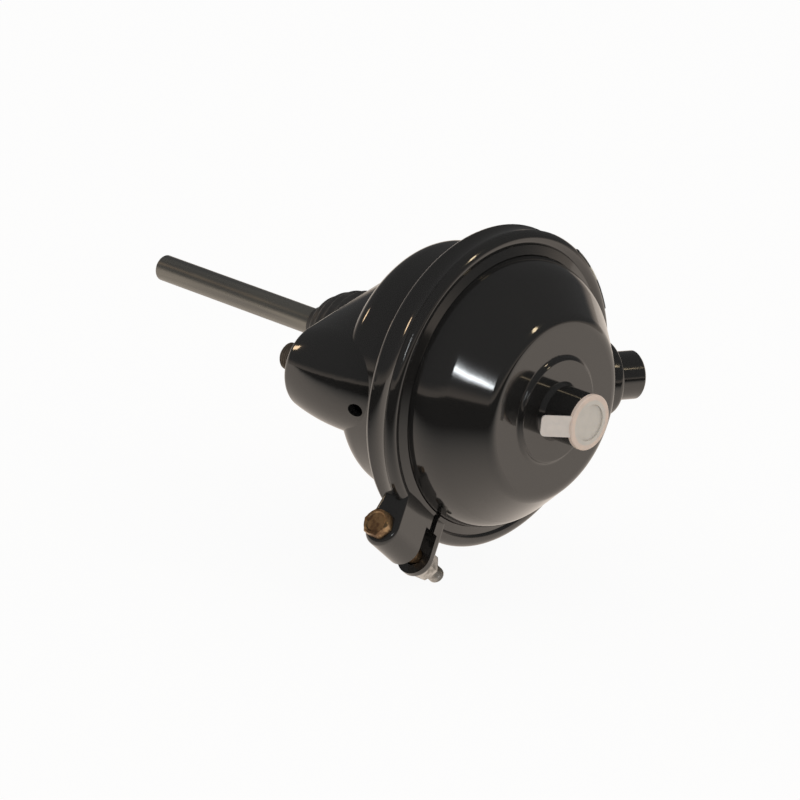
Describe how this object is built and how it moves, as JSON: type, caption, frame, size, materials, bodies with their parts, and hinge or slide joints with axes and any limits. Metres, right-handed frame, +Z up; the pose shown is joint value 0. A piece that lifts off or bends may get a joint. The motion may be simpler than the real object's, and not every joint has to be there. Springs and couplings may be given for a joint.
{
  "type": "air brake chamber",
  "caption": "Diaphragm service brake chamber with a push rod in a dust boot, two mounting studs, a clamp ring with its bolt, and two air ports, one closed by a plastic plug.",
  "frame": {"origin": "centre of the mounting face, midway between the two studs, on the push rod axis", "axes": "+X along the push rod axis from the mounting face towards the clamp ring and the pressure housing, +Y along the line through the two studs, +Z up with the clamp bolt on the lower side"},
  "size_m": [0.3453, 0.1929, 0.2016],
  "materials": {
    "black_paint": "gloss",
    "stud_steel": "satin",
    "rod_steel": "satin",
    "inner_steel": "satin",
    "spring_steel": "satin",
    "bolt_zinc": "satin",
    "nut_zinc": "satin",
    "rubber": "matte",
    "guide_plastic": "matte",
    "plug_plastic": "satin"
  },
  "bodies": {
    "housing": {"non_pressure_housing": "black_paint", "pressure_housing": "black_paint", "centre_port_boss": "black_paint", "side_port_boss": "black_paint", "clamp_ring": "black_paint", "clamp_bolt": "bolt_zinc", "clamp_nut": "nut_zinc", "mounting_stud_left": "stud_steel", "mounting_stud_right": "stud_steel", "stud_plate": "inner_steel", "rod_guide": "guide_plastic", "diaphragm": "rubber", "return_spring": "spring_steel", "dust_boot": "rubber", "boot_ring": "inner_steel"},
    "push_rod": {"push_rod": "rod_steel", "plate_hub": "inner_steel", "push_plate": "inner_steel"},
    "port_plug": {"port_plug": "plug_plastic"}
  },
  "joints": [
    {"name": "push_rod_slide", "type": "slide", "parent": "housing", "child": "push_rod", "axis": [-1, 0, 0], "range_m": [0, 0.064], "stiffness_N_per_m": 2000, "springref_m": -0.05, "deforming": ["return_spring", "diaphragm", "dust_boot"]},
    {"name": "port_plug_pull", "type": "slide", "parent": "housing", "child": "port_plug", "axis": [1, 0, 0], "range_m": [0, 0.02]}
  ]
}
